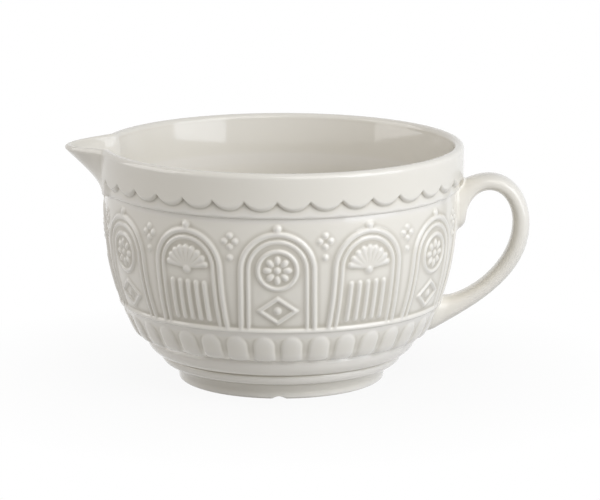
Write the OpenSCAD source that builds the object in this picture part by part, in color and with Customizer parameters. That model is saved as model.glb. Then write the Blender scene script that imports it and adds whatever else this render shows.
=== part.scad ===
// Batter bowl: a glazed stoneware mixing bowl with a pouring lip and a loop handle.
// The bowl's axis is Z, the foot stands on z = 0, the lip points along -X and the
// handle along +X. The handle is a piece of its own, stuck to the wall with slip.

/* [Bowl] */
// Height from the table to the top of the rim
bowl_h = 140.5; // [125:0.5:175]
// Outside diameter of the collar at the ledge
collar_d = 215; // [200:0.5:235]
// Height of the collar, from the ledge under it to the top of the rim
collar_h = 26.1; // [22:0.1:34]
// How far the roll of the rim leans out past the foot of the collar
rim_lean = 0.2; // [0:0.1:2]
// Thickness of the rolled rim
rim_t = 6.1; // [4:0.1:8]
// How far the belly's widest line stands in from the collar
belly_inset = 3.6; // [3:0.1:6]
// Depth of the belly's widest line below the ledge
belly_widest_drop = 14.4; // [5:0.1:25]
// Radius of the belly's lower rounding
belly_round = 12; // [8:0.5:16]
// Wall thickness at the belly's widest line
belly_wall = 6.5; // [5:0.1:8]
// Thickness of the floor
floor_t = 8.5; // [6:0.1:12]
// Diameter of the flat floor inside
floor_d = 66; // [40:1:90]

/* [Foot and bands] */
// Outside diameter of the foot at the table, as a share of the collar's
foot_share = 0.563; // [0.5:0.001:0.6]
// How far the foot widens from the table to its top, on each side
foot_flare = 3.9; // [1:0.1:6]
// Height of the foot
foot_h = 10.2; // [8:0.1:14]
// Width of the foot ring at the table
foot_w = 7.4; // [5:0.1:12]
// Height of the hollow inside the foot ring
foot_hollow_h = 5; // [3:0.1:6]
// Size of the bevel round the edges of the foot ring
foot_bevel = 0.8; // [0.3:0.1:1.5]
// Width of the drain notch in the foot ring
notch_w = 8; // [5:0.5:14]
// Height of the drain notch
notch_h = 1.7; // [1:0.1:3]
// Height of the narrow ring above the foot
ring_h = 6.3; // [4:0.1:9]
// Outward step across the narrow ring
ring_step = 7; // [4:0.1:10]
// Height of the wide band above the narrow ring
band_h = 10; // [7:0.1:14]
// Outward step across the wide band
band_step = 8.5; // [6:0.1:11]
// How far the ring and the band swell out from a straight line
band_swell = 2.7; // [1:0.1:3.4]
// How far the belly's lower rounding tucks in over the band
belly_tuck = 2.6; // [1:0.1:5]

/* [Scalloped border] */
// Number of scallops round the bowl
scallop_count = 36; // [20:2:44]
// Height of a scallop, from its points to the foot of its curve
scallop_h = 5.8; // [3:0.1:7]
// Height of the plain strip between the scallops and the ledge
border_h = 4.5; // [3:0.1:8]
// Depth of the sunk border behind the face of the collar
border_depth = 2.2; // [1:0.1:2.8]
// Size of the bevel under the border
border_bevel = 0.7; // [0.2:0.1:1.5]

/* [Relief on the belly] */
// How far the relief stands out from the belly
relief_h = 1.1; // [0.6:0.1:1.6]
// How far the string moulding stands out
string_t = 1.5; // [1:0.1:2]
// Number of arches round the belly
arch_count = 12; // [8:2:14]
// Radius of an arch, as a share of half its bay
arch_share = 0.768; // [0.6:0.001:0.8]
// Radius of the inner arch, as a share of the outer one
inner_arch_share = 0.8; // [0.7:0.01:0.85]
// Width of the outer arches and of the string moulding
rib_w = 3.4; // [2:0.1:5]
// Width of the finer lines: inner arches, rings and lozenges
line_w = 2.2; // [1.4:0.1:3]
// Depth of the arches' crowns below the ledge
arch_drop = 7.1; // [5:0.1:10]
// Height of the string moulding, as a share of the belly's height
string_share = 0.246; // [0.2:0.001:0.3]
// Number of gadroons under the string moulding
gadroon_count = 36; // [24:2:48]
// Width of a gadroon, as a share of its pitch
gadroon_share = 0.79; // [0.6:0.01:0.9]
// Plain belly kept beside each side of the handle's roots
handle_margin = 3; // [2:0.5:8]

/* [Pouring lip] */
// How far the tip of the lip reaches out from the collar
lip_reach = 19.8; // [10:0.1:28]
// Width of the lip where it leaves the collar
lip_w = 60; // [40:1:80]
// How far the tip lies below the rest of the rim
lip_dip = 1.4; // [0:0.1:6]
// Thickness of the wall at the tip
lip_t = 3.4; // [2.6:0.1:5]
// How far the keel of the lip draws in at the ledge
keel_tuck = 3.9; // [0:0.1:4]

/* [Handle] */
// How far the handle reaches out from the collar
handle_reach = 39.2; // [32:0.1:50]
// Depth of the handle's top below the rim
handle_drop = 18.2; // [14:0.1:22]
// Height of the handle's heel above the wide band
heel_rise = 1.1; // [0.6:0.1:5]
// Thickness of the handle, from its back to its palm side
handle_t = 10.2; // [8:0.1:12]
// Width of the handle across the bow
handle_w = 20; // [16:0.5:26]
// Width of the upper root where it meets the wall
upper_root_w = 23; // [20:0.5:28]
// Width of the lower root where it meets the belly
lower_root_w = 27; // [22:0.5:32]
// Squareness of the handle's section across the bow, where 2 is an oval
bow_power = 2.4; // [2:0.1:3]
// Squareness of the handle's section at its roots
root_power = 3; // [2:0.1:4]
// Thickness of the slip between the handle and the wall
slip_t = 0.8; // [0.4:0.1:1.5]

/* [Hidden] */

glaze_cream = [0.91, 0.89, 0.83];
fired_slip = [0.86, 0.83, 0.76];

// One overrun for every cut that has to run past a face
overrun = 6;
round_fn = 180;

// Levels, from the table up
ring_z = foot_h;
band_z = ring_z + ring_h;
belly_z = band_z + band_h;
ledge_z = bowl_h - collar_h;
widest_z = ledge_z - belly_widest_drop;
floor_z = foot_hollow_h + floor_t;
rim_z = bowl_h - rim_t / 2;

// Radii, from the foot up
collar_r = collar_d / 2;
foot_r = collar_r * foot_share;
ring_r = foot_r + foot_flare;
band_r = ring_r + ring_step;
belly_start_r = band_r + band_step;
belly_r = collar_r - belly_inset;
border_r = collar_r - border_depth;
rim_r = collar_r + rim_lean - rim_t / 2;
inside_r = belly_r - belly_wall;

function lerp(a, b, t) = a + (b - a) * t;
function clamp01(t) = max(0, min(1, t));
function ease(t) = let (c = clamp01(t)) c * c * (3 - 2 * c);

// Points of a circular arc about a centre, from one angle to another
function arc(centre, r, from, to, steps) =
  [for (i = [0 : steps]) let (a = lerp(from, to, i / steps)) centre + r * [cos(a), sin(a)]];

// Points of an arc from a to b that swells out to the right of the way from a to b
function swell(a, b, rise, steps) =
  let (
    half = norm(b - a) / 2,
    r = (half * half + rise * rise) / (2 * rise),
    along = (b - a) / (2 * half),
    out = [along[1], -along[0]],
    centre = (a + b) / 2 + (rise - r) * out,
    open = 2 * asin(half / r),
    start = atan2(a[1] - centre[1], a[0] - centre[0])
  ) arc(centre, r, start, start + open, steps);

// One point of a cubic curve with the four control points p
function bezier(p, t) =
  let (u = 1 - t)
  u * u * u * p[0] + 3 * u * u * t * p[1] + 3 * u * t * t * p[2] + t * t * t * p[3];

// The belly is one large arc, upright at its widest line, that runs into the lower
// rounding. The large radius follows from the two, so they always meet smoothly.
round_centre = [belly_start_r - belly_tuck, belly_z + belly_round];
belly_curve =
  let (run = belly_r - round_centre[0], rise = widest_z - round_centre[1])
  (run * run + rise * rise - belly_round * belly_round) / (2 * (run - belly_round));
belly_centre = [belly_r - belly_curve, widest_z];
meet_angle = atan2(round_centre[1] - belly_centre[1], round_centre[0] - belly_centre[0]);
meet_z = round_centre[1] + belly_round * sin(meet_angle);
tuck_angle = -90 + asin(clamp01(belly_tuck / belly_round));
tuck_rise = belly_round * (1 + sin(tuck_angle));

// Outside radius of the plain wall at height z, from the belly's rounding up
function wall_r(z) =
  z >= ledge_z ? border_r
  : z >= meet_z ? belly_centre[0] + sqrt(belly_curve * belly_curve - pow(z - widest_z, 2))
  : round_centre[0] + sqrt(belly_round * belly_round - pow(z - round_centre[1], 2));

// Inside radius between the belly's widest line and the rim
function inside_r_at(z) = lerp(inside_r, rim_r - rim_t / 2, ease((z - widest_z) / (rim_z - widest_z)));

// The collar's section at one place round the bowl. lift is 0 on the plain collar and
// grows to 1 at the tip of the pouring lip. Each side runs from the ledge to the crest.
// inset draws both sides in.
wall_steps = 7;
roll_steps = 5;
outer_flare_share = 0.05;
inner_flare_share = 0.2;

function flare(t, share) = t - share * t * (1 - t);
function roll_r(lift) = lerp(rim_t, lip_t, lift) / 2;
function roll_centre(lift) =
  [lerp(rim_r, collar_r + lip_reach - lip_t / 2, lift), bowl_h - lip_dip * lift - roll_r(lift)];
function outer_foot_r(lift) = collar_r - keel_tuck * lift;
function outer_lean(lift) =
  let (c = roll_centre(lift))
  atan((1 + outer_flare_share) * (c[0] + roll_r(lift) - outer_foot_r(lift)) / (c[1] - ledge_z));
function inner_lean(lift) =
  let (c = roll_centre(lift), shift = c[0] - roll_r(lift) - (rim_r - rim_t / 2))
  atan((1 + inner_flare_share) * shift / (c[1] - ledge_z));

function collar_outside(lift, inset = 0) =
  let (
    c = roll_centre(lift),
    r = roll_r(lift) - inset,
    lean = outer_lean(lift),
    top = c + r * [cos(lean), -sin(lean)]
  ) concat(
    [for (i = [0 : wall_steps - 1]) let (t = i / wall_steps)
      [lerp(outer_foot_r(lift) - inset, top[0], flare(t, outer_flare_share)), lerp(ledge_z, top[1], t)]],
    arc(c, r, -lean, 90, roll_steps)
  );

function collar_inside(lift, inset = 0) =
  let (
    c = roll_centre(lift),
    r = roll_r(lift) - inset,
    lean = inner_lean(lift),
    top = c + r * [-cos(lean), sin(lean)],
    shift = top[0] - (rim_r - rim_t / 2)
  ) concat(
    [for (i = [0 : wall_steps - 1]) let (t = i / wall_steps, z = lerp(ledge_z, top[1], t))
      [inside_r_at(z) + lerp(inset, shift, flare(t, inner_flare_share)), z]],
    arc(c, r, 180 - lean, 90, roll_steps)
  );

// All but the last point of a list
function but_last(points) = [for (i = [0 : len(points) - 2]) points[i]];
function reversed(points) = [for (i = [len(points) - 1 : -1 : 0]) points[i]];

// The hollow inside the bowl, from the ledge down to the flat floor
wall_pull_share = 0.58;
floor_pull_share = 0.683;
hollow_curve = [
  [inside_r, widest_z],
  [inside_r, lerp(widest_z, floor_z, wall_pull_share)],
  [lerp(floor_d / 2, inside_r, floor_pull_share), floor_z],
  [floor_d / 2, floor_z]
];

// Outline of the wall from the foot ring's inner edge, out and up to the ledge
foot_outline = concat(
  [
    [foot_r - foot_w - foot_bevel, foot_hollow_h],
    [foot_r - foot_w, foot_bevel],
    [foot_r - foot_w + foot_bevel, 0],
    [foot_r - foot_bevel, 0],
    [foot_r + foot_flare * foot_bevel / foot_h, foot_bevel]
  ],
  but_last(swell([ring_r, ring_z], [band_r, band_z], band_swell, 8)),
  but_last(swell([band_r, band_z], [belly_start_r, belly_z + tuck_rise], band_swell, 10))
);

belly_outline = concat(
  but_last(arc(round_centre, belly_round, tuck_angle, meet_angle, 8)),
  arc(belly_centre, belly_curve, meet_angle, asin((ledge_z - widest_z) / belly_curve), 18)
);

bowl_outline = concat(
  [[0, foot_hollow_h]],
  foot_outline,
  belly_outline,
  collar_outside(0),
  reversed(but_last(collar_inside(0))),
  [for (i = [1 : 3]) let (z = lerp(ledge_z, widest_z, i / 4)) [inside_r_at(z), z]],
  [for (i = [0 : 16]) bezier(hollow_curve, i / 16)],
  [[0, floor_z]]
);

// The outside alone, filled solid, which shapes what is stuck to the wall
outer_outline = concat(
  [[0, foot_hollow_h]],
  foot_outline,
  belly_outline,
  collar_outside(0),
  [[0, bowl_h]]
);

/* The pouring lip */
lip_angle = asin(lip_w / collar_d);
lip_columns = 36;
tip_power = 1.7;
side_power = 1.45;
function lip_lift(angle) = pow(1 - pow(min(1, abs(angle) / lip_angle), tip_power), side_power);

// The lip's wall is let into the bowl's: it runs on a little into the cut wall on each
// side and has a tongue under it, and its faces stand in from the wall's by the seam
seam = 0.08;
let_in_angle = 0.6;
border_end_angle = lip_angle + 2 * let_in_angle;
tongue_h = 2;
tongue_inset = 1;

// A wedge with its edge on the bowl's axis, half_angle to each side, over the height h from z
module lip_wedge(half_angle, z, h) {
  reach = 2 * collar_r;
  translate([0, 0, z])
    linear_extrude(h)
      polygon([
        [0, 0],
        reach * [-cos(half_angle), sin(half_angle)],
        reach * [-cos(half_angle), -sin(half_angle)]
      ]);
}

// One section of the lip's wall: up its outside, down its inside, then round the tongue
function lip_section(lift) =
  let (inner_foot_r = inside_r_at(ledge_z), outer_foot_r = wall_r(ledge_z - tongue_h))
  concat(
    collar_outside(lift, seam),
    reversed(but_last(collar_inside(lift, seam))),
    [
      [inner_foot_r + tongue_inset, ledge_z - tongue_h],
      [outer_foot_r - tongue_inset, ledge_z - tongue_h],
      [outer_foot_r - tongue_inset, ledge_z]
    ]
  );

// The wall of the lip: the collar's section carried across the lip, rising to the tip
module lip_wall() {
  angles = concat(
    [-lip_angle - let_in_angle],
    [for (j = [0 : lip_columns]) lerp(-lip_angle, lip_angle, j / lip_columns)],
    [lip_angle + let_in_angle]
  );
  sections = [for (a = angles) lip_section(lip_lift(a))];
  n = len(sections[0]);
  spans = len(angles) - 1;
  points = [for (j = [0 : spans], p = sections[j])
    [p[0] * cos(180 + angles[j]), p[0] * sin(180 + angles[j]), p[1]]];
  sides = [for (j = [0 : spans - 1], i = [0 : n - 1])
    let (a = j * n + i, b = j * n + (i + 1) % n, c = a + n, d = b + n)
    each [[a, b, d], [a, d, c]]];

  // Both ends, filled across from the outside to the inside, then the tongue's corner
  crest = wall_steps + roll_steps;
  inner_foot = 2 * crest;
  across = [for (i = [1 : crest - 1])
    let (o = i, p = i + 1, q = inner_foot - i, r = q - 1)
    each i == crest - 1 ? [[o, q, p]] : [[o, q, p], [p, q, r]]];
  corner = [for (k = [inner_foot + 2, inner_foot + 1, inner_foot, inner_foot - 1, 1]) k];
  foot = [for (k = [0 : len(corner) - 2]) [n - 1, corner[k], corner[k + 1]]];
  first_end = concat(across, foot, [[n - 1, 1, 0]]);
  last_end = [for (f = first_end) [for (k = [2 : -1 : 0]) spans * n + f[k]]];
  polyhedron(points = points, faces = concat(sides, first_end, last_end), convexity = 4);
}

/* The scalloped border */
scallop_pitch = 360 / scallop_count;
scallop_half = collar_r * sin(scallop_pitch / 2);
scallop_r = (scallop_half * scallop_half + scallop_h * scallop_h) / (2 * scallop_h);
scallop_foot_z = ledge_z + border_h;

// The sunk strip behind the scallops, left out across the pouring lip
module sunk_border() {
  top = scallop_foot_z + scallop_h + border_h;
  past = collar_r + overrun;
  difference() {
    rotate_extrude($fn = round_fn)
      polygon([
        [border_r, top],
        [past, top],
        [past, ledge_z - overrun],
        [border_r - border_bevel, ledge_z - overrun],
        [border_r - border_bevel, ledge_z],
        [border_r, ledge_z + border_bevel]
      ]);
    scallops();
    lip_wedge(border_end_angle, ledge_z - 2 * overrun, bowl_h);
  }
}

// The round ends of the scallops, each a short bar that points out from the axis. Two
// scallops meet on the middle line of the lip.
module scallops() {
  for (i = [0 : scallop_count - 1])
    rotate([0, 0, 180 + (i + 1 / 2) * scallop_pitch])
      translate([border_r - overrun, 0, scallop_foot_z + scallop_r])
        rotate([0, 90, 0])
          cylinder(r = scallop_r, h = border_depth + 3 * overrun, $fn = 64);
}

/* The relief: an arcade with a fan over reeds or a rosette over a lozenge in its bays, a
   string moulding under it, and a row of gadroons down to the bands */
relief_root = 2.5;
relief_low_angle = -52;
relief_top_gap = 2;
arch_steps = 12;
inner_arch_steps = 8;
gadroon_steps = 6;
clear_half = lower_root_w / 2 + handle_margin;
bay = 360 / arch_count;
bay_half = belly_r * sin(bay / 2);
arch_r = bay_half * arch_share;
inner_arch_r = arch_r * inner_arch_share;
arch_z = ledge_z - arch_drop - rib_w / 2 - arch_r;
string_z = lerp(belly_z, ledge_z, string_share);
string_angle = asin((string_z - widest_z) / belly_curve);
string_half_angle = asin(rib_w / 2 / belly_curve);

// A thin shell round the belly, from inside the wall out to the top of the relief
module relief_shell() {
  top_angle = asin((ledge_z - relief_top_gap - widest_z) / belly_curve);
  rotate_extrude($fn = round_fn)
    polygon(concat(
      but_last(arc(round_centre, belly_round + relief_h, relief_low_angle, meet_angle, 2)),
      arc(belly_centre, belly_curve + relief_h, meet_angle, top_angle, 6),
      arc(belly_centre, belly_curve - relief_root, top_angle, meet_angle, 4),
      [round_centre + (belly_round - relief_root) * [cos(relief_low_angle), sin(relief_low_angle)]]
    ));
}

// A drawing of heights over widths, raised outward in one direction from the radius start
module raised(direction, start) {
  rotate([0, 0, direction])
    translate([start, 0, 0])
      rotate([90, 0, 90])
        linear_extrude(collar_r + overrun - start)
          children();
}

// A band of the width w that goes up, over a round arch of the radius r, and down again
module arch_band(r, w, steps) {
  polygon(concat(
    [[r + w / 2, string_z]],
    arc([0, arch_z], r + w / 2, 0, 180, steps),
    [[-r - w / 2, string_z]],
    [[-r + w / 2, string_z]],
    arc([0, arch_z], r - w / 2, 180, 0, steps),
    [[r - w / 2, string_z]]
  ));
}

fan_ribs = 9;
fan_spread = 84;
fan_r = inner_arch_r - line_w;

// A fan shell in the head of an arch, with one lobe at the end of each rib
module fan() {
  lobe = 2 * fan_spread / fan_ribs;
  notch_share = 0.92;
  translate([0, arch_z - rib_w / 2])
    polygon(concat(
      [[0, 0]],
      [for (i = [0 : fan_ribs - 1], k = [0 : 2])
        let (a = 90 - fan_spread + (i + k / 3) * lobe, r = fan_r * (k == 0 ? notch_share : 1))
        r * [cos(a), sin(a)]],
      [fan_r * notch_share * [cos(90 + fan_spread), sin(90 + fan_spread)]]
    ));
}

reed_count = 5;
reed_gap = line_w;

// Upright reeds with pointed ends under the fan
module reeds() {
  room = 2 * (inner_arch_r - line_w) - reed_gap;
  pitch = room / reed_count;
  half = (pitch - reed_gap) / 2;
  low = string_z + rib_w / 2 + reed_gap;
  high = arch_z - rib_w - 2 * reed_gap;
  for (i = [0 : reed_count - 1])
    translate([(i - (reed_count - 1) / 2) * pitch, 0])
      polygon([
        [0, low],
        [half, low + half],
        [half, high - half],
        [0, high],
        [-half, high - half],
        [-half, low + half]
      ]);
}

petal_count = 8;
roundel_r = inner_arch_r - 2 * line_w - line_w / 2;

// A rosette in a ring, in the head of an arch
module roundel() {
  petal_reach = roundel_r - line_w;
  petal_half = 180 / petal_count;
  valley_share = 0.6;
  shoulder_share = 0.4;
  translate([0, arch_z]) {
    difference() {
      circle(r = roundel_r + line_w / 2, $fn = 64);
      circle(r = roundel_r - line_w / 2, $fn = 64);
    }
    polygon([for (i = [0 : petal_count - 1], turn = [-1, -shoulder_share, shoulder_share])
      let (a = (2 * i + turn) * petal_half, r = petal_reach * (turn == -1 ? valley_share : 1))
      r * [cos(a), sin(a)]]);
  }
}

// A lozenge of a closed line under the roundel
module lozenge() {
  top = arch_z - roundel_r - 2 * line_w;
  low = string_z + rib_w / 2 + line_w;
  half_h = (top - low) / 2;
  half_w = inner_arch_r - 2 * line_w;
  inner_share = 1 - line_w / half_h * sqrt(1 + pow(half_h / half_w, 2));
  translate([0, (top + low) / 2])
    difference() {
      polygon([[half_w, 0], [0, half_h], [-half_w, 0], [0, -half_h]]);
      polygon(inner_share * [[half_w, 0], [0, half_h], [-half_w, 0], [0, -half_h]]);
    }
}

// The string moulding that the arcade stands on
module string_moulding() {
  rotate_extrude($fn = round_fn)
    polygon(concat(
      arc(belly_centre, belly_curve + string_t,
        string_angle - string_half_angle, string_angle + string_half_angle, 1),
      arc(belly_centre, belly_curve - relief_root,
        string_angle + string_half_angle, string_angle - string_half_angle, 1)
    ));
}

gadroon_pitch = 360 / gadroon_count;

// The outline of one gadroon, round at the top and cut off square at the foot
module gadroon() {
  half = wall_r(meet_z) * sin(gadroon_pitch / 2) * gadroon_share;
  top = string_z - rib_w / 2 - line_w;
  polygon(concat(
    [[half, belly_z]],
    arc([0, top - half], half, 0, 180, gadroon_steps),
    [[-half, belly_z]]
  ));
}

// All the bays. The one behind the handle has only its outer arch.
module arcade() {
  start = wall_r(string_z) - overrun;
  for (i = [1 : arch_count - 1])
    raised(i * bay, start) {
      arch_band(arch_r, rib_w, arch_steps);
      arch_band(inner_arch_r, line_w, inner_arch_steps);
      if (i % 2 == 0) {
        fan();
        reeds();
      } else {
        roundel();
        lozenge();
      }
    }

  // The arch behind the handle stops on both sides of the roots
  raised(0, start)
    difference() {
      arch_band(arch_r, rib_w, arch_steps);
      translate([-clear_half, 0])
        square([2 * clear_half, bowl_h]);
    }
}

module gadroons() {
  for (i = [1 : gadroon_count - 2])
    raised((i + 1 / 2) * gadroon_pitch, belly_start_r - overrun)
      gadroon();
}

module relief() {
  intersection() {
    relief_shell();
    arcade();
  }
  intersection() {
    relief_shell();
    gadroons();
  }
  difference() {
    string_moulding();
    translate([0, -clear_half, 0])
      cube([collar_d, 2 * clear_half, bowl_h]);
  }
}

// The drain notch lets water run out of the foot ring when the bowl stands upside down
module drain_notch() {
  r = (notch_w * notch_w / 4 + notch_h * notch_h) / (2 * notch_h);
  rotate([0, 0, -90])
    translate([foot_r - foot_w - overrun, 0, notch_h - r])
      rotate([0, 90, 0])
        cylinder(r = r, h = foot_w + foot_flare + 2 * overrun, $fn = 48);
}

module bowl() {
  color(glaze_cream)
    union() {
      difference() {
        rotate_extrude($fn = round_fn)
          polygon(bowl_outline);
        sunk_border();
        lip_wedge(lip_angle, ledge_z, bowl_h);
        drain_notch();
      }
      lip_wall();
      relief();
    }
}

/* The handle: a loft between two curves, its back and its palm side */
heel_z = belly_z + heel_rise;
handle_h = bowl_h - handle_drop - heel_z;

// A point in the open is a share of the reach and of the height. A point at a root is a
// share of the thickness out from the wall, and of the height.
function open_point(share, inset) =
  [collar_r + share[0] * (handle_reach - inset), heel_z + share[1] * (handle_h - inset)];
function root_point(share, inset) =
  let (z = heel_z + share[1] * (handle_h - inset)) [wall_r(z) + share[0] * handle_t, z];

back_top_shares = [[-0.43, 0.913], [-0.15, 0.935], [0.14, 0.953]];
back_bow_shares = [
  [0.054, 0.969], [0.167, 0.99], [0.285, 1], [0.389, 1], [0.741, 1], [1, 0.867],
  [1, 0.68], [1, 0.35], [0.178, 0.164]
];
back_heel_shares = [[0.61, 0.032], [0.62, 0], [0.17, 0], [-0.43, 0]];
palm_tail_shares = [[-0.45, 0.717], [0.1, 0.717], [0.47, 0.749], [0.49, 0.802]];
palm_bow_shares = [
  [0.048, 0.902], [0.241, 1.005], [0.522, 1.005], [0.809, 1.005], [1, 0.9],
  [1, 0.773], [1, 0.502], [0.227, 0.287]
];
palm_heel_shares = [[0.49, 0.249], [0.04, 0.246], [-0.54, 0.239], [-1, 0.233]];

back_curve = concat(
  [for (s = back_top_shares) root_point(s, 0)],
  [for (s = back_bow_shares) open_point(s, 0)],
  [for (s = back_heel_shares) root_point(s, 0)]
);
palm_curve = concat(
  [for (s = palm_tail_shares) root_point(s, handle_t)],
  [for (s = palm_bow_shares) open_point(s, handle_t)],
  [for (s = palm_heel_shares) root_point(s, handle_t)]
);

// Rings in each of the five stretches, from the upper root to the heel
stretch_rings = [4, 6, 10, 20, 6];
ring_sides = 28;
stations = concat(
  [for (k = [0 : len(stretch_rings) - 1], i = [0 : stretch_rings[k] - 1]) k + i / stretch_rings[k]],
  [len(stretch_rings)]
);

function on_curve(curve, g) =
  let (k = min(floor(g), len(stretch_rings) - 1))
  bezier([for (i = [0 : 3]) curve[3 * k + i]], g - k);

// The roots widen and square up toward the wall
upper_root_end = 2;
lower_root_start = 3.3;
function upper_part(g) = 1 - ease(g / upper_root_end);
function lower_part(g) = ease((g - lower_root_start) / (len(stretch_rings) - lower_root_start));
function width_at(g) =
  handle_w + (upper_root_w - handle_w) * upper_part(g) + (lower_root_w - handle_w) * lower_part(g);
function power_at(g) = bow_power + (root_power - bow_power) * (upper_part(g) + lower_part(g));

// A rounded ring between the two curves, with the width w, at the place g
function loft_ring(g) =
  let (
    back = on_curve(back_curve, g),
    palm = on_curve(palm_curve, g),
    middle = (back + palm) / 2,
    half = (back - palm) / 2,
    pull = 2 / power_at(g)
  ) [for (i = [0 : ring_sides - 1])
    let (
      a = 360 * i / ring_sides,
      c = sign(cos(a)) * pow(abs(cos(a)), pull),
      s = sign(sin(a)) * pow(abs(sin(a)), pull),
      p = middle + c * half
    ) [p[0], s * width_at(g) / 2, p[1]]];

// The whole loop, with both ends still running into the wall
module handle_loop() {
  n = ring_sides;
  rings = len(stations);
  points = concat(
    [for (g = stations) each loft_ring(g)],
    [for (g = [0, len(stretch_rings)])
      let (m = (on_curve(back_curve, g) + on_curve(palm_curve, g)) / 2) [m[0], 0, m[1]]]
  );
  start_hub = rings * n;
  end_hub = start_hub + 1;
  sides = [for (j = [0 : rings - 2], i = [0 : n - 1])
    let (a = j * n + i, b = j * n + (i + 1) % n, c = a + n, d = b + n)
    each [[a, d, b], [a, c, d]]];
  start_cap = [for (i = [0 : n - 1]) [start_hub, i, (i + 1) % n]];
  end_cap = [for (i = [0 : n - 1]) let (k = (rings - 1) * n) [end_hub, k + (i + 1) % n, k + i]];
  polyhedron(points = points, faces = concat(sides, start_cap, end_cap), convexity = 6);
}

// The bowl's outside filled solid, with its sunk border
module outer_body() {
  difference() {
    rotate_extrude($fn = round_fn)
      polygon(outer_outline);
    sunk_border();
  }
}

// The same wall brought out by the thickness of the slip
module slip_face() {
  grown = belly_curve + slip_t;
  rotate_extrude($fn = round_fn)
    polygon(concat(
      [[0, belly_z - overrun]],
      [[round_centre[0], belly_z - slip_t]],
      but_last(arc(round_centre, belly_round + slip_t, -90, meet_angle, 8)),
      arc(belly_centre, grown, meet_angle, asin((ledge_z - slip_t - widest_z) / grown), 18),
      [
        [border_r + slip_t, ledge_z - slip_t],
        [border_r + slip_t, bowl_h],
        [0, bowl_h]
      ]
    ));
}

module handle() {
  color(glaze_cream)
    difference() {
      handle_loop();
      slip_face();
      outer_body();
    }
}

// The slip that holds one root, between the heights low and high
module slip_joint(low, high) {
  color(fired_slip)
    difference() {
      intersection() {
        handle_loop();
        slip_face();
        translate([0, -collar_r, low])
          cube([2 * collar_r, 2 * collar_r, high - low]);
      }
      outer_body();
    }
}

gap_middle_z = heel_z + handle_h / 2;

module upper_slip_joint() {
  slip_joint(gap_middle_z, bowl_h);
}

module lower_slip_joint() {
  slip_joint(0, gap_middle_z);
}

bowl();
handle();
upper_slip_joint();
lower_slip_joint();
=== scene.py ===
# %% [markdown]
# # Batter bowl
# A glazed stoneware mixing bowl with a scalloped collar, a drawn pouring lip and a loop
# handle. The lesson builds it from seven meshes, each one turned on the same wheel by
# spinning a row of points, and then gives all of them one cream glaze.
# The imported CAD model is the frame: every size here is the size the frame has.

# %% Load the frame
import math

import bmesh
import bpy
import numpy as np
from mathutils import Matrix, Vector


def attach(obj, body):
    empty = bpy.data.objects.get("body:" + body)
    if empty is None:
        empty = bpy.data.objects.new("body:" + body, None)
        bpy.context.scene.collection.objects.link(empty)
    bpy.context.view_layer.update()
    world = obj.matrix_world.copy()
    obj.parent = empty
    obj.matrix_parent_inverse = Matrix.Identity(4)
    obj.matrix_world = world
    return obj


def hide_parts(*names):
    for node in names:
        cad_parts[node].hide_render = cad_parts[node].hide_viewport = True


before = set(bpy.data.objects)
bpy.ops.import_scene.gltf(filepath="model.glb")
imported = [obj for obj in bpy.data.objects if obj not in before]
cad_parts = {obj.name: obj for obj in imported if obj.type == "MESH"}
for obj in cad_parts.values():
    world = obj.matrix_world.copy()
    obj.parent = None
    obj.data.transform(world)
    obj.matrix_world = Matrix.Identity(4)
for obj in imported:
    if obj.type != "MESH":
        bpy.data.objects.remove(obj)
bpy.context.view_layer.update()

MM = 0.001

# %% [markdown]
# ## The camera
# A camera comes first, because it decides how much detail shows. The photograph was taken
# from two metres off with a long lens, so the bowl's circles look like nearly flat
# ellipses. The lens, the height and the tilt were worked out from those ellipses.

# %% Camera
camera_data = bpy.data.cameras.new("camera")
camera_data.sensor_width = 36
camera_data.lens = 202.8
camera_data.clip_end = 40
camera = bpy.data.objects.new("camera", camera_data)
camera.location = Vector((41.9, -1958.5, 479.7)) * MM
camera.rotation_euler = (math.radians(90 - 11.656), 0, math.radians(0.9))
bpy.context.scene.collection.objects.link(camera)
bpy.context.scene.camera = camera
print("camera", round(camera.location.length, 3), "m from the origin")

# %% [markdown]
# ## The bowl's sizes
# These are the sizes of the CAD model, in millimetres. They are repeated here because a
# finer mesh has to follow the same curves. Only the rim and the lip's reach differ, by
# less than 0.2 mm, so that the rounded mesh fills the solid's box and stays inside it.
# Heights are measured from the table.

# %% Sizes
BOWL_H = 140.5
COLLAR_R = 107.5
LEDGE_Z = BOWL_H - 26.1
RIM_T = 6.1
RIM_R = COLLAR_R + 0.16 - RIM_T / 2
RIM_Z = BOWL_H - RIM_T / 2
WIDEST_Z = LEDGE_Z - 14.4
BELLY_R = COLLAR_R - 3.6
INSIDE_R = BELLY_R - 6.5
HOLLOW_Z = 5.0
FLOOR_Z = HOLLOW_Z + 8.5
FLOOR_R = 33.0

FOOT_R = COLLAR_R * 0.563
FOOT_W = 7.4
FOOT_BEVEL = 0.8
RING = (FOOT_R + 3.9, 10.2)
BAND = (RING[0] + 7, RING[1] + 6.3)
BELLY_START = (BAND[0] + 8.5, BAND[1] + 10)
SWELL = 2.7
ROUND = 12.0
TUCK = 2.6
NOTCH_W = 8.0
NOTCH_H = 1.7


def lerp(a, b, t):
    return a + (b - a) * t


def ease(t):
    t = np.clip(t, 0, 1)
    return t * t * (3 - 2 * t)


round_centre = np.array((BELLY_START[0] - TUCK, BELLY_START[1] + ROUND))
run, rise = BELLY_R - round_centre[0], WIDEST_Z - round_centre[1]
BELLY_CURVE = (run * run + rise * rise - ROUND * ROUND) / (2 * (run - ROUND))
belly_centre = np.array((BELLY_R - BELLY_CURVE, WIDEST_Z))
MEET = math.atan2(round_centre[1] - belly_centre[1], round_centre[0] - belly_centre[0])
TUCK_ANGLE = math.asin(TUCK / ROUND) - math.pi / 2
STRING_Z = lerp(BELLY_START[1], LEDGE_Z, 0.246)
BELT_TOP = STRING_Z - 2.3
print("belly curve radius", round(BELLY_CURVE, 1), "mm")

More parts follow.
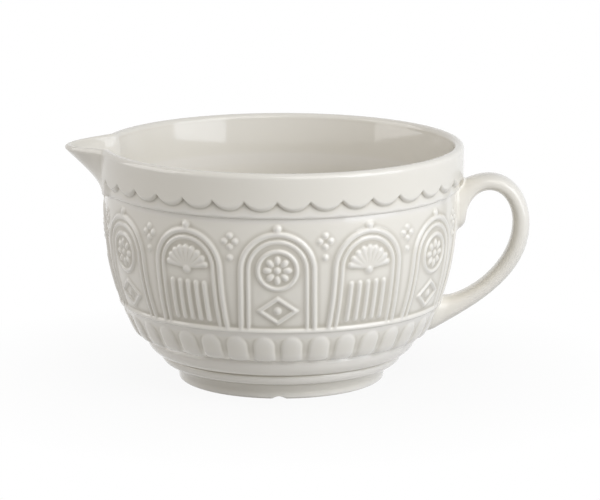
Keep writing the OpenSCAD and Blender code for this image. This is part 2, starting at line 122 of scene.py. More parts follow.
# %% [markdown]
# ## One wheel for every piece
# A potter shapes a bowl by turning one outline round an axis, and Spin does the same in
# bmesh: a row of points goes round once and is merged with itself. The row keeps its
# number on the mesh, so a shaping function can then move every vertex by its row and by
# its angle: out for the relief, out and up for the lip. The same helper makes the handle,
# which starts as an upright tube and is bent into its loop.


# %% Helper for a spun piece
ON_AXIS_R = 0.01
MERGE_M = 1e-7
SHARP = math.radians(60)


def spun_piece(name, outline, steps, shape, closed):
    bm = bmesh.new()
    number = bm.verts.layers.int.new("row")
    verts = []
    for i, (r, z) in enumerate(outline):
        verts.append(bm.verts.new((max(r, ON_AXIS_R) * MM, 0, z * MM)))
        verts[-1][number] = i
    edges = [bm.edges.new(pair) for pair in zip(verts, verts[1:])]
    if closed:
        edges.append(bm.edges.new((verts[-1], verts[0])))
    bmesh.ops.spin(
        bm, geom=verts + edges, cent=(0, 0, 0), axis=(0, 0, 1),
        angle=2 * math.pi, steps=steps, use_merge=True,
    )
    place = np.array([v.co for v in bm.verts], dtype=float)
    row = np.array([v[number] for v in bm.verts])
    angle = np.arctan2(place[:, 1], place[:, 0]) % (2 * math.pi)
    points = np.stack(shape(row, angle), axis=1) * MM
    for vert, point in zip(bm.verts, points):
        vert.co = point
    bmesh.ops.remove_doubles(bm, verts=bm.verts, dist=MERGE_M)
    bmesh.ops.recalc_face_normals(bm, faces=bm.faces)
    for face in bm.faces:
        face.smooth = True
    for edge in bm.edges:
        edge.smooth = edge.calc_face_angle(0) < SHARP
    mesh = bpy.data.meshes.new(name)
    bm.to_mesh(mesh)
    open_edges = sum(1 for edge in bm.edges if len(edge.link_faces) != 2)
    bm.free()
    piece = bpy.data.objects.new(name, mesh)
    bpy.context.scene.collection.objects.link(piece)
    triangles = sum(polygon.loop_total - 2 for polygon in mesh.polygons)
    print(name, len(mesh.vertices), "vertices", triangles, "triangles", open_edges, "open edges")
    return piece


# %% [markdown]
# ## The outline
# The outline of the foot, the two bands and the belly is drawn with arcs, and the foot is a
# shallow cove. Glaze fills every inner corner and rounds every edge a little, so the outline
# is cut into tiny steps and smoothed. The potter's tool leaves a fine groove in each corner
# over and under the bands, which is pressed in after that. Rows lie closer where the shape
# is finer, and each stretch of rows has a second one close to either end, a twentieth of
# the spacing away. All lengths are millimetres.


# %% Outline helpers
SEAM_SHARE = 0.05


def arc(centre, radius, start, end, steps):
    a = np.linspace(start, end, steps + 1)
    return centre + radius * np.stack((np.cos(a), np.sin(a)), axis=1)


def swell(a, b, steps):
    a, b = np.array(a), np.array(b)
    half = np.linalg.norm(b - a) / 2
    radius = (half * half + SWELL * SWELL) / (2 * SWELL)
    along = (b - a) / (2 * half)
    centre = (a + b) / 2 + (SWELL - radius) * np.array((along[1], -along[0]))
    start = math.atan2(*(a - centre)[::-1])
    return arc(centre, radius, start, start + 2 * math.asin(half / radius), steps)


def length_along(points):
    return np.concatenate(([0], np.cumsum(np.linalg.norm(np.diff(points, axis=0), axis=1))))


def soften(points, step=0.1, passes=24):
    s = length_along(points)
    even = np.linspace(0, s[-1], int(s[-1] / step))
    fine = np.stack([np.interp(even, s, points[:, k]) for k in (0, 1)], axis=1)
    for _ in range(passes):
        fine[1:-1] = (fine[:-2] + 2 * fine[1:-1] + fine[2:]) / 4
    return fine


def choose_rows(points, spacing):
    s = length_along(points)
    density = np.concatenate(([0], np.cumsum(np.diff(s) / spacing(points[1:]))))
    wanted = np.linspace(0, density[-1], int(math.ceil(density[-1])) + 1)
    first, last = wanted[:1], wanted[-1:]
    wanted = np.concatenate((first, first + SEAM_SHARE, wanted[1:-1], last - SEAM_SHARE, last))
    return np.stack([np.interp(wanted, density, points[:, k]) for k in (0, 1)], axis=1)


# %% Outside outline, from the middle of the underside to the ledge
COVE_IN = 0.3
GROOVES = ((BELLY_START, 0.8, 1.0), (BAND, 0.7, 0.9), (RING, 0.6, 1.2))
HIDDEN_R = 51.0
HIDDEN_SPACING = 9.0
BASE_SPACING = 0.7
WALL_SPACING = 0.75
cove = np.linspace(0, 1, 12)[:-1]
round_start = (BELLY_START[0], BELLY_START[1] + ROUND * (1 + math.sin(TUCK_ANGLE)))
outside = np.concatenate((
    [(0, HOLLOW_Z), (FOOT_R - FOOT_W - FOOT_BEVEL, HOLLOW_Z)],
    [(FOOT_R - FOOT_W, FOOT_BEVEL), (FOOT_R - FOOT_W + FOOT_BEVEL, 0)],
    [(FOOT_R - FOOT_BEVEL, 0)],
    np.stack((lerp(FOOT_R + COVE_IN, RING[0], cove**2), lerp(FOOT_BEVEL, RING[1], cove)), axis=1),
    swell(RING, BAND, 12)[:-1],
    swell(BAND, round_start, 14)[:-1],
    arc(round_centre, ROUND, TUCK_ANGLE, MEET, 12)[:-1],
    arc(belly_centre, BELLY_CURVE, MEET, math.asin((LEDGE_Z - WIDEST_Z) / BELLY_CURVE), 40),
))
outside = soften(outside)
for corner, depth, width in GROOVES:
    outside[:, 0] -= depth * np.exp(-np.sum((outside - corner) ** 2, axis=1) / width**2)
groove = np.argmin(np.hypot(*(outside - BELLY_START).T))
below_string = groove + np.argmin(np.abs(outside[groove:, 1] - BELT_TOP))


def base_spacing(points):
    underside = (points[:, 1] > HOLLOW_Z - 1) & (points[:, 0] < HIDDEN_R)
    return np.where(underside, HIDDEN_SPACING, BASE_SPACING)


def even_spacing(spacing):
    return lambda points: np.full(len(points), spacing)


base_rows = choose_rows(outside[: groove + 1], base_spacing)
belt_rows = choose_rows(outside[groove : below_string + 1], even_spacing(WALL_SPACING))
belly_rows = choose_rows(outside[below_string:], even_spacing(WALL_SPACING))
print("rows of base, belt and belly outside:", len(base_rows), len(belt_rows), len(belly_rows))


# %% [markdown]
# ## The pouring lip
# On the real bowl the lip is drawn out of the rim while the clay is soft, so collar and lip
# are one wall. A lift of 0 is the plain collar and 1 is the tip of the lip. Every radius of
# the collar follows from the height and that lift, and so does the wall inside. Clay that
# is drawn has no crease, so the lift starts gently at the sides of the lip.

# %% Lip and inside wall
LIP_HALF = math.asin(60 / 215)
LIP_REACH = 19.68
LIP_DIP = 1.4
LIP_T = 3.4
TIP_POWER = 1.7
SIDE_POWER = 2.325
GENTLE = 0.1
KEEL_TUCK = 3.9
FLARE = 0.05
CHANNEL_Z = 111.0
CHANNEL_POWER = 1.3
CHANNEL_NARROWS = 0.8
INSIDE_POWER = 1.6


def away_from_lip(angle):
    return np.abs(angle - math.pi)


def lift_at(angle):
    inward = 1 - np.clip(away_from_lip(angle) / LIP_HALF, 0, 1) ** TIP_POWER
    return (1 + GENTLE) * inward**SIDE_POWER / (inward + GENTLE)


def roll(lift):
    radius = lerp(RIM_T, LIP_T, lift) / 2
    r = lerp(RIM_R, COLLAR_R + LIP_REACH - LIP_T / 2, lift)
    return r, BOWL_H - LIP_DIP * lift - radius, radius


def outer_lean(lift):
    r, z, radius = roll(lift)
    foot = COLLAR_R - KEEL_TUCK * lift
    return np.arctan((1 + FLARE) * (r + radius - foot) / (z - LEDGE_Z))


def outer_r(z, lift):
    r, centre_z, radius = roll(lift)
    lean = outer_lean(lift)
    t = (z - LEDGE_Z) / (centre_z - radius * np.sin(lean) - LEDGE_Z)
    foot = COLLAR_R - KEEL_TUCK * lift
    return lerp(foot, r + radius * np.cos(lean), t - FLARE * t * (1 - t))


def inner_lean(lift):
    r, z, radius = roll(lift)
    return np.arctan(CHANNEL_POWER * (r - radius - RIM_R + RIM_T / 2) / (z - CHANNEL_Z))


def inner_r(z, lift):
    r, centre_z, radius = roll(lift)
    lean = inner_lean(lift)
    top_z = centre_z + radius * np.sin(lean)
    up = np.clip((z - WIDEST_Z) / (RIM_Z - WIDEST_Z), 0, 1)
    plain = lerp(INSIDE_R, RIM_R - RIM_T / 2, up**INSIDE_POWER)
    shift = r - radius * np.cos(lean) - (RIM_R - RIM_T / 2)
    u = np.clip((z - CHANNEL_Z) / (top_z - CHANNEL_Z), 0, 1)
    return plain + shift * u**CHANNEL_POWER * lift ** (CHANNEL_NARROWS * (1 - u))


# %% Inside outline, from the ledge's height down to the middle of the floor
BASE_SEAM_Z = 28.0
WALL_PULL = 0.58
FLOOR_PULL = 0.683
CHANNEL_SPACING = 1.2
INSIDE_SPACING = 5.0
FLOOR_SPACING = 4.0
hollow = np.array((
    (INSIDE_R, WIDEST_Z), (INSIDE_R, lerp(WIDEST_Z, FLOOR_Z, WALL_PULL)),
    (lerp(FLOOR_R, INSIDE_R, FLOOR_PULL), FLOOR_Z), (FLOOR_R, FLOOR_Z),
))
t = np.linspace(0, 1, 81)[:, None]
weights = np.concatenate(((1 - t) ** 3, 3 * (1 - t) ** 2 * t, 3 * (1 - t) * t * t, t**3), axis=1)
upper_z = np.linspace(LEDGE_Z, WIDEST_Z, 16)[:-1]
inside = np.concatenate((
    np.stack((inner_r(upper_z, np.zeros_like(upper_z)), upper_z), axis=1),
    weights @ hollow,
    [(0, FLOOR_Z)],
))
belt_seam, base_seam = (np.argmin(np.abs(inside[:, 1] - z)) for z in (BELT_TOP, BASE_SEAM_Z))


def channel_spacing(points):
    return np.where(points[:, 1] > CHANNEL_Z - 3, CHANNEL_SPACING, INSIDE_SPACING)


inside_wall = choose_rows(inside[: belt_seam + 1], channel_spacing)
inside_belt = choose_rows(inside[belt_seam : base_seam + 1], even_spacing(INSIDE_SPACING))
inside_floor = choose_rows(inside[base_seam:], even_spacing(FLOOR_SPACING))
print("rows inside, belly to base:", len(inside_wall), len(inside_belt), len(inside_floor))


# %% [markdown]
# ## The relief
# The belly carries a moulded ornament about one millimetre high, softened by the glaze.
# This one is a generic, traditional arcade: twelve round arches, each with a fan shell over
# reeds or a rosette over a lozenge, a string moulding, and a row of gadroons at the bottom.
# It could be displaced by a texture, but a height worked out for each vertex is real
# geometry, so it shows in the outline and in the mesh itself. Each motif is a distance
# to a simple line or spot, turned into a rounded height, and the highest one wins. At last
# the height is averaged over half a millimetre, as glaze that runs rounds every line. The
# widths x run sideways from the middle of a bay and z is the height above the table.

# %% Relief sizes
RELIEF_H = 1.1
STRING_T = 1.5
BAY = 2 * math.pi / 12
BAY_HALF = BELLY_R * math.sin(BAY / 2)
ARCH_R = BAY_HALF * 0.768
INNER_ARCH_R = ARCH_R * 0.8
RIB_HALF = 1.7
LINE_HALF = 1.1
SOFT = 0.25
ARCH_Z = LEDGE_Z - 7.1 - RIB_HALF - ARCH_R
FAN_SPREAD = math.radians(84)
FAN_FLUTES = 9
FAN_EDGE = 1.1
REEDS = 5
FAN_BEAD_R = 3.2
INNER_SHARE = 0.8
BEAD_SHARE = 1.1
PETAL_OUT = 5.7
PETAL_HALF = (3.3, 2.15)
ROSETTE_BEAD_R = 2.5
LOZENGE_BEAD_R = 2.8
SPANDREL_Z = 101.2
SPANDREL_LOW_Z = 91.8
SPANDREL_STEP = 3.1
SPANDREL_BEAD_R = 2.2
KEY_BEAD = (108.6, 3.0)
GADROON_PITCH = 2 * math.pi / 36
GADROON_R = 88.04
GADROON_HALF = GADROON_R * math.sin(GADROON_PITCH / 2) * 0.79
GADROON_EDGE = 0.9
GADROON_FOOT_Z = 27.6
GADROON_FOOT_FADE = 1.8
CLEAR_HALF = 27 / 2 + 3


# %% Relief motifs
def rib(distance, half):
    dome = np.sqrt(np.clip(1 - (distance / half) ** 2, 0, 1))
    return dome * ease((half - np.abs(distance)) / half * 1.6)


def bead(x, z, radius):
    return rib(np.hypot(x, z), radius)


def arch(x, z, radius, half):
    line = np.where(z > ARCH_Z, np.hypot(x, z - ARCH_Z), np.abs(x)) - radius
    return np.where(z > STRING_Z, rib(line, half + SOFT), 0)


def fan_over_reeds(x, z):
    apex = ARCH_Z - RIB_HALF
    radius = INNER_ARCH_R - 2 * LINE_HALF
    reach = np.hypot(x, z - apex)
    turn = np.arctan2(x, z - apex)
    wave = np.abs(np.cos(turn / FAN_SPREAD * FAN_FLUTES / 2 * math.pi))
    edge = radius * (0.92 + 0.08 * wave)
    sides = (FAN_SPREAD - np.abs(turn)) * reach
    body = ease((edge - reach) / FAN_EDGE) * ease(sides / FAN_EDGE)
    fan = body * (0.35 + 0.65 * wave**0.7) * (0.6 + 0.5 * reach / radius)
    low, high = STRING_Z + RIB_HALF + 2 * LINE_HALF, ARCH_Z - 2 * RIB_HALF - 4 * LINE_HALF
    pitch = (2 * radius - 2 * LINE_HALF) / REEDS
    half = (pitch - 2 * LINE_HALF) / 2 + SOFT
    across = (x + pitch / 2) % pitch - pitch / 2
    beyond = np.clip(np.abs(z - (low + high) / 2) - (high - low) / 2 + half, 0, None)
    reeds = np.where(np.abs(x) < REEDS / 2 * pitch, rib(np.hypot(across, beyond), half), 0)
    return np.maximum.reduce([fan, reeds, BEAD_SHARE * bead(x, z - apex, FAN_BEAD_R)])


def rosette_over_lozenge(x, z):
    radius = INNER_ARCH_R - 5 * LINE_HALF
    reach = np.hypot(x, z - ARCH_Z)
    turn = (np.arctan2(z - ARCH_Z, x) + math.pi / 8) % (math.pi / 4) - math.pi / 8
    along = (reach * np.cos(turn) - PETAL_OUT) / PETAL_HALF[0]
    petals = bead(along, reach * np.sin(turn) / PETAL_HALF[1], 1)
    top, low = ARCH_Z - radius - 4 * LINE_HALF, STRING_Z + RIB_HALF + 2 * LINE_HALF
    half_h, half_w = (top - low) / 2, INNER_ARCH_R - 4 * LINE_HALF
    share = np.abs(x) / half_w + np.abs(z - (top + low) / 2) / half_h
    inward = (1 - share) * half_h * half_w / math.hypot(half_h, half_w)
    return np.maximum.reduce([
        rib(reach - radius, LINE_HALF + SOFT),
        petals,
        1.05 * bead(x, z - ARCH_Z, ROSETTE_BEAD_R),
        rib(inward - LINE_HALF, LINE_HALF + SOFT),
        bead(x, z - (top + low) / 2, LOZENGE_BEAD_R),
    ])


def spandrel(x, z):
    beads = [bead(x, z - SPANDREL_LOW_Z, SPANDREL_BEAD_R)]
    for step in (-SPANDREL_STEP, SPANDREL_STEP):
        beads.append(bead(x, z - SPANDREL_Z + step, SPANDREL_BEAD_R))
        beads.append(bead(x + step, z - SPANDREL_Z, SPANDREL_BEAD_R))
    return np.maximum.reduce(beads)


def gadroon(x, z):
    round_z = STRING_Z - RIB_HALF - 2 * LINE_HALF - GADROON_HALF
    inward = GADROON_HALF + SOFT - np.where(z > round_z, np.hypot(x, z - round_z), np.abs(x))
    share = np.clip(inward / GADROON_HALF, 0, 1)
    dome = np.sqrt(1 - (1 - share) ** 2) * ease(inward / GADROON_EDGE)
    return dome * ease((z - GADROON_FOOT_Z) / GADROON_FOOT_FADE)


# %% Relief as one height
def relief(radius, angle, z):
    bay = np.rint(angle / BAY)
    x = radius * np.sin(angle - bay * BAY)
    bay = bay % 12
    side = radius * np.sin(angle - (np.floor(angle / BAY) + 0.5) * BAY)
    tongue = radius * np.sin(angle - (np.floor(angle / GADROON_PITCH) + 0.5) * GADROON_PITCH)
    framed = np.where(bay % 2 == 0, fan_over_reeds(x, z), rosette_over_lozenge(x, z))
    inner = INNER_SHARE * arch(x, z, INNER_ARCH_R, LINE_HALF)
    height = np.maximum.reduce([
        arch(x, z, ARCH_R, RIB_HALF),
        np.where(bay == 0, 0, np.maximum(inner, framed)),
        BEAD_SHARE * bead(x, z - KEY_BEAD[0], KEY_BEAD[1]),
        spandrel(side, z),
        STRING_T / RELIEF_H * rib((z - STRING_Z) * 1.067, RIB_HALF + SOFT),
        gadroon(tongue, z),
    ])
    beside_handle = np.where(np.cos(angle) > 0, np.abs(radius * np.sin(angle)), np.inf)
    return RELIEF_H * height * ease((beside_handle - CLEAR_HALF + 0.6) / 1.6)


def softened_relief(radius, angle, z, blur=0.45):
    total = 0
    for sideways, share in ((-blur, 0.25), (0, 0.5), (blur, 0.25)):
        for up, weight in ((-blur, 0.25), (0, 0.5), (blur, 0.25)):
            total = total + share * weight * relief(radius, angle + sideways / radius, z + up)
    return total


# %% [markdown]
# ## The belly and the base
# The bowl is one piece of stoneware, but a mesh fine enough for its relief grows large. So
# it is made as a base and three closed rings that stand on each other, and they meet where
# the real bowl has a line outside: at the groove over the bands, under the string moulding
# and at the ledge. Two rows lie close together at each seam, so the light runs over it
# without a break.


# %% Belly and belt
RELIEF_STEPS = 840
BASE_STEPS = 480


def facing(r, z):
    upper = (z > round_centre[1] + ROUND * math.sin(MEET))[:, None]
    away = np.stack((r, z), axis=1) - np.where(upper, belly_centre, round_centre)
    return (away / np.linalg.norm(away, axis=1)[:, None]).T


def relief_ring(name, outside_rows, inside_rows):
    outline = np.concatenate((outside_rows, inside_rows))

    def shape(row, angle):
        r, z = outline[row].T
        outer = row < len(outside_rows)
        height = np.where(outer, softened_relief(r, angle, z), 0)
        out, up = facing(r, z)
        inner = ~outer & (z > CHANNEL_Z)
        r = np.where(inner, inner_r(z, lift_at(angle)), r + height * out)
        return r * np.cos(angle), r * np.sin(angle), z + height * up

    return spun_piece(name, outline, RELIEF_STEPS, shape, closed=True)


belly = relief_ring("bowl_belly", belly_rows, inside_wall)
belt = relief_ring("bowl_belt", belt_rows, inside_belt)

# %% Base
base_outline = np.concatenate((base_rows, inside_floor))
base_out_count = len(base_rows)
notch_round = (NOTCH_W**2 / 4 + NOTCH_H**2) / (2 * NOTCH_H)


def shape_base(row, angle):
    r, z = base_outline[row].T
    x, y = r * np.cos(angle), r * np.sin(angle)
    tunnel = NOTCH_H - notch_round + np.sqrt(np.clip(notch_round**2 - x * x, 0, None))
    in_foot = (r > FOOT_R - FOOT_W - 2) & (row < base_out_count)
    in_notch = in_foot & (y < 0) & (np.abs(x) < NOTCH_W / 2)
    return x, y, np.where(in_notch, np.maximum(z, tunnel), z)


base = spun_piece("bowl_base", base_outline, BASE_STEPS, shape_base, closed=False)

# %% [markdown]
# ## The collar
# The collar stands out from the belly over a narrow sunk strip, and its lower edge is a row
# of scallops. Its rows bend with the scallops, so the step from the strip to the face
# follows them without a jagged edge, and the columns crowd together at the points between
# two scallops, where the edge is steepest. Glaze fills the strip's corner a little and
# rounds those points, and the strip runs out along the side of the lip.

# %% Collar
SCALLOPS = 36
LOBE_COLUMNS = 20
SCALLOP_H = 5.8
BORDER_H = 4.5
BORDER_DEPTH = 2.2
GLAZE_FILL = 0.4
STRIP_END = 18.0
STRIP_FADE = 4.5
STRIP_FOOT = 0.8
STEP_LOW = 0.4
STEP_H = 2.6
UNDERCUT = 1.2
SCALLOP_PITCH = 2 * math.pi / SCALLOPS
half_lobe = COLLAR_R * math.sin(SCALLOP_PITCH / 2)
lobe_r = (half_lobe**2 + SCALLOP_H**2) / (2 * SCALLOP_H)
lobe_turn = math.asin(half_lobe / lobe_r)

collar_rows = [("under", 0)]
collar_rows += [("strip", k / 5) for k in range(6)]
collar_rows += [("step", k / 7) for k in range(1, 8)]
collar_rows += [("face", (k / 8) ** 1.4) for k in range(1, 9)]
collar_rows += [("roll", k / 20) for k in range(1, 20)]
collar_rows += [("inside", k / 16) for k in range(16)]
collar_rows += [("inside", 0.998), ("inside", 1)]
kinds = np.array([kind for kind, _ in collar_rows])
shares = np.array([share for _, share in collar_rows])


def crowd(angle):
    lobe = np.floor(angle / SCALLOP_PITCH)
    turn = ((angle / SCALLOP_PITCH - lobe) * 2 - 1) * lobe_turn
    x = lobe_r * np.sin(turn)
    climb = (lobe_r - np.sqrt(lobe_r**2 - x * x)) / SCALLOP_H
    lobe_z = GLAZE_FILL + (SCALLOP_H - 2 * GLAZE_FILL) * (climb - climb**6 / 6)
    return (lobe + 0.5) * SCALLOP_PITCH + np.arcsin(x / COLLAR_R), lobe_z


def shape_collar(row, angle):
    kind, share = kinds[row], shares[row]
    angle, lobe_z = crowd(angle)
    lift = lift_at(angle)
    sunk = ease((np.degrees(away_from_lip(angle)) - STRIP_END) / STRIP_FADE)
    step_z = LEDGE_Z + BORDER_H + lobe_z - STEP_LOW
    depth = BORDER_DEPTH * sunk
    roll_r, roll_z, radius = roll(lift)
    out_lean, in_lean = outer_lean(lift), inner_lean(lift)
    top_z = roll_z - radius * np.sin(out_lean)
    inside_top_z = roll_z + radius * np.sin(in_lean)
    parts = [kind == part for part in ("under", "strip", "step", "face", "inside")]
    z = np.select(parts, [
        np.full(len(row), LEDGE_Z),
        lerp(LEDGE_Z + STRIP_FOOT, step_z, share),
        step_z + STEP_H * share,
        lerp(step_z + STEP_H, top_z, share),
        lerp(inside_top_z, LEDGE_Z, share),
    ])
    face_r = outer_r(z, lift)
    r = np.select(parts, [
        face_r - depth - UNDERCUT * sunk,
        face_r - depth,
        face_r - depth * (1 - share) ** 2,
        face_r,
        inner_r(z, lift),
    ])
    turn = lerp(-out_lean, math.pi - in_lean, share)
    rolled = kind == "roll"
    r = np.where(rolled, roll_r + radius * np.cos(turn), r)
    z = np.where(rolled, roll_z + radius * np.sin(turn), z)
    return r * np.cos(angle), r * np.sin(angle), z


collar_outline = [(COLLAR_R, LEDGE_Z + i) for i in range(len(collar_rows))]
collar_columns = SCALLOPS * LOBE_COLUMNS
collar = spun_piece("bowl_collar", collar_outline, collar_columns, shape_collar, closed=True)

# %% [markdown]
# ## The handle
# The real handle is a pulled or cast strip, bent into a loop and stuck on with slip. Its
# side view is drawn by two curves, the back and the palm side, each made of five cubic
# stretches through control points, so a place g along them runs from 0 at the upper root
# to 5 at the lower one. A ring with rounded corners runs between them, wider and squarer
# at the two roots. Where a ring would reach through the wall it is held just inside it, and
# for that the wall counts as running smoothly from the belly out to the collar.

# %% Handle curves
HANDLE_REACH = 39.2
HANDLE_T = 10.2
HANDLE_W = 20.0
UPPER_ROOT_W = 23.0
LOWER_ROOT_W = 27.0
HEEL_Z = BELLY_START[1] + 1.1
HANDLE_H = BOWL_H - 18.2 - HEEL_Z
UPPER_ROOT_END = 2.0
LOWER_ROOT_START = 3.3
LAST_G = 5
BLEND_LOW = 2.0
BLEND_H = 6.0
ROUNDNESS = 2.4
SQUARER = 0.6
ROOT_DEPTH = 3.2
LINE_PASSES = 30
SIDES = 56
RINGS = 170


def wall_r(z):
    belly_part = belly_centre[0] + np.sqrt(BELLY_CURVE**2 - (z - WIDEST_Z) ** 2)
    low_part = round_centre[0] + np.sqrt(np.clip(ROUND**2 - (z - round_centre[1]) ** 2, 0, None))
    meet_z = round_centre[1] + ROUND * math.sin(MEET)
    return np.where(z >= meet_z, belly_part, low_part)


def carrier_r(z):
    share = ease((z - LEDGE_Z + BLEND_LOW) / BLEND_H)
    return lerp(wall_r(np.minimum(z, LEDGE_Z)), COLLAR_R, share)


def open_points(shares, inset):
    s = np.array(shares)
    reach = COLLAR_R + s[:, 0] * (HANDLE_REACH - inset)
    return np.stack((reach, HEEL_Z + s[:, 1] * (HANDLE_H - inset)), axis=1)


def root_points(shares, inset):
    s = np.array(shares)
    z = HEEL_Z + s[:, 1] * (HANDLE_H - inset)
    wall = np.where(z >= LEDGE_Z, COLLAR_R - BORDER_DEPTH, wall_r(np.minimum(z, LEDGE_Z)))
    return np.stack((wall + s[:, 0] * HANDLE_T, z), axis=1)


back_points = np.concatenate((
    root_points([(-0.43, 0.913), (-0.15, 0.935), (0.14, 0.953)], 0),
    open_points([
        (0.054, 0.969), (0.167, 0.99), (0.285, 1), (0.389, 1), (0.741, 1), (1, 0.867),
        (1, 0.68), (1, 0.35), (0.178, 0.164),
    ], 0),
    root_points([(0.61, 0.032), (0.62, 0), (0.17, 0), (-0.43, 0)], 0),
))
palm_points = np.concatenate((
    root_points([(-0.45, 0.717), (0.1, 0.717), (0.47, 0.749), (0.49, 0.802)], HANDLE_T),
    open_points([
        (0.048, 0.902), (0.241, 1.005), (0.522, 1.005), (0.809, 1.005), (1, 0.9),
        (1, 0.773), (1, 0.502), (0.227, 0.287),
    ], HANDLE_T),
    root_points([(0.49, 0.249), (0.04, 0.246), (-0.54, 0.239), (-1, 0.233)], HANDLE_T),
))


def on_curve(points, g):
    k = np.minimum(np.floor(g).astype(int), LAST_G - 1)
    t = (g - k)[:, None]
    p = [points[3 * k + i] for i in range(4)]
    s = 1 - t
    return s**3 * p[0] + 3 * s**2 * t * p[1] + 3 * s * t * t * p[2] + t**3 * p[3]


def smoothed(line, passes):
    line = line.copy()
    for _ in range(passes):
        line[1:-1] = (line[:-2] + 2 * line[1:-1] + line[2:]) / 4
    return line


fine_g = np.linspace(0, LAST_G, 401)
back_line = smoothed(on_curve(back_points, fine_g), LINE_PASSES)
palm_line = smoothed(on_curve(palm_points, fine_g), LINE_PASSES)
middle_s = length_along((back_line + palm_line) / 2)
ring_g = np.interp(np.linspace(0, middle_s[-1], RINGS), middle_s, fine_g)


# %% Handle surface
def handle_surface(g, angle):
    back = np.stack([np.interp(g, fine_g, back_line[:, k]) for k in (0, 1)])
    palm = np.stack([np.interp(g, fine_g, palm_line[:, k]) for k in (0, 1)])
    upper = 1 - ease(g / UPPER_ROOT_END)
    lower = ease((g - LOWER_ROOT_START) / (LAST_G - LOWER_ROOT_START))
    width = HANDLE_W + (UPPER_ROOT_W - HANDLE_W) * upper + (LOWER_ROOT_W - HANDLE_W) * lower
    pull = 2 / (ROUNDNESS + SQUARER * (upper + lower))
    c = np.sign(np.cos(angle)) * np.abs(np.cos(angle)) ** pull
    s = np.sign(np.sin(angle)) * np.abs(np.sin(angle)) ** pull
    x, z = (back + palm) / 2 + c * (back - palm) / 2
    return x, s * width / 2, z


def shape_handle(row, angle):
    g = ring_g[np.clip(row - 1, 0, RINGS - 1)]
    x, y, z = handle_surface(g, angle)
    hub = (row == 0) | (row == RINGS + 1)
    middle = [np.interp(g, fine_g, (back_line[:, k] + palm_line[:, k]) / 2) for k in (0, 1)]
    x, y, z = np.where(hub, middle[0], x), np.where(hub, 0, y), np.where(hub, middle[1], z)
    r = np.hypot(x, y)
    held = np.maximum(r, carrier_r(z) - ROOT_DEPTH)
    return x * held / r, y * held / r, z


tube = [(10, 3 * i) for i in range(RINGS + 2)]
handle = spun_piece("handle_loop", tube, SIDES, shape_handle, closed=False)

# %% [markdown]
# ## The slip joints
# Slip is liquid clay. The maker scores both faces, brushes slip on and presses the handle
# home, and the slip and then the glaze leave a small hollow fillet round each root. The
# fillet could come from a boolean with a bevel, but booleans on fine meshes are slow and
# untidy. A closed ring of its own is simpler: one side climbs the handle, the other runs
# out along the wall, and its back lies hidden inside both.

# %% Slip joints
FILLET_UP = 2.6
FILLET_OUT = 2.8
EDGE_SUNK = 0.12
TOE_SUNK = 0.15
CORNER_OUT = 0.1
BACK_DEPTH = 4.0
BACK_IN = 1.5
SHOWN_LINES = 9
HALVINGS = 40
AROUND = 144
look_angles = np.linspace(0, 2 * math.pi, AROUND, endpoint=False)


def above_wall(g, angle):
    x, y, z = handle_surface(g, angle)
    return np.hypot(x, y) - carrier_r(z)


def root_line(near, far, height):
    low, high = np.full(AROUND, near), np.full(AROUND, far)
    for _ in range(HALVINGS):
        middle = (low + high) / 2
        out = above_wall(middle, look_angles) > height
        low, high = np.where(out, low, middle), np.where(out, middle, high)
    return np.stack(handle_surface(high, look_angles), axis=1)


def fillet(name, near, far):
    foot = root_line(near, far, 0.0)
    climb = root_line(near, far, FILLET_UP)
    flat = np.stack((foot[:, 1], foot[:, 2]), axis=1)
    flat = (np.roll(flat, 1, 0) + 2 * flat + np.roll(flat, -1, 0)) / 4
    along = np.roll(flat, -1, 0) - np.roll(flat, 1, 0)
    side = np.stack((along[:, 1], -along[:, 0]), axis=1)
    side /= np.linalg.norm(side, axis=1)[:, None]
    if np.sum(side * (flat - flat.mean(axis=0))) < 0:
        side = -side
    spread = flat + side * FILLET_OUT
    climb[:, 1:] -= EDGE_SUNK * side

    def on_wall(points, lift):
        y, z = points.T
        r = carrier_r(z) + lift
        return np.stack((np.sqrt(r * r - y * y), y, z), axis=1)

    toe = on_wall(spread, -TOE_SUNK)
    corner = on_wall(flat, CORNER_OUT)
    t = np.linspace(0, 1, SHOWN_LINES)[:, None, None]
    shown = (1 - t) ** 2 * climb + 2 * (1 - t) * t * corner + t * t * toe
    under = flat - side * BACK_IN
    hidden = np.stack((on_wall(spread, -BACK_DEPTH), on_wall(under, -BACK_DEPTH)))
    lines = np.concatenate((shown, hidden))

    def shape(row, angle):
        column = np.rint(angle / (2 * math.pi) * AROUND).astype(int) % AROUND
        return lines[row, column].T

    strip = [(10, 3 * i) for i in range(len(lines))]
    return spun_piece(name, strip, AROUND, shape, closed=True)


upper_slip = fillet("upper_slip_fillet", 0.0, 1.6)
lower_slip = fillet("lower_slip_fillet", LAST_G, 3.6)
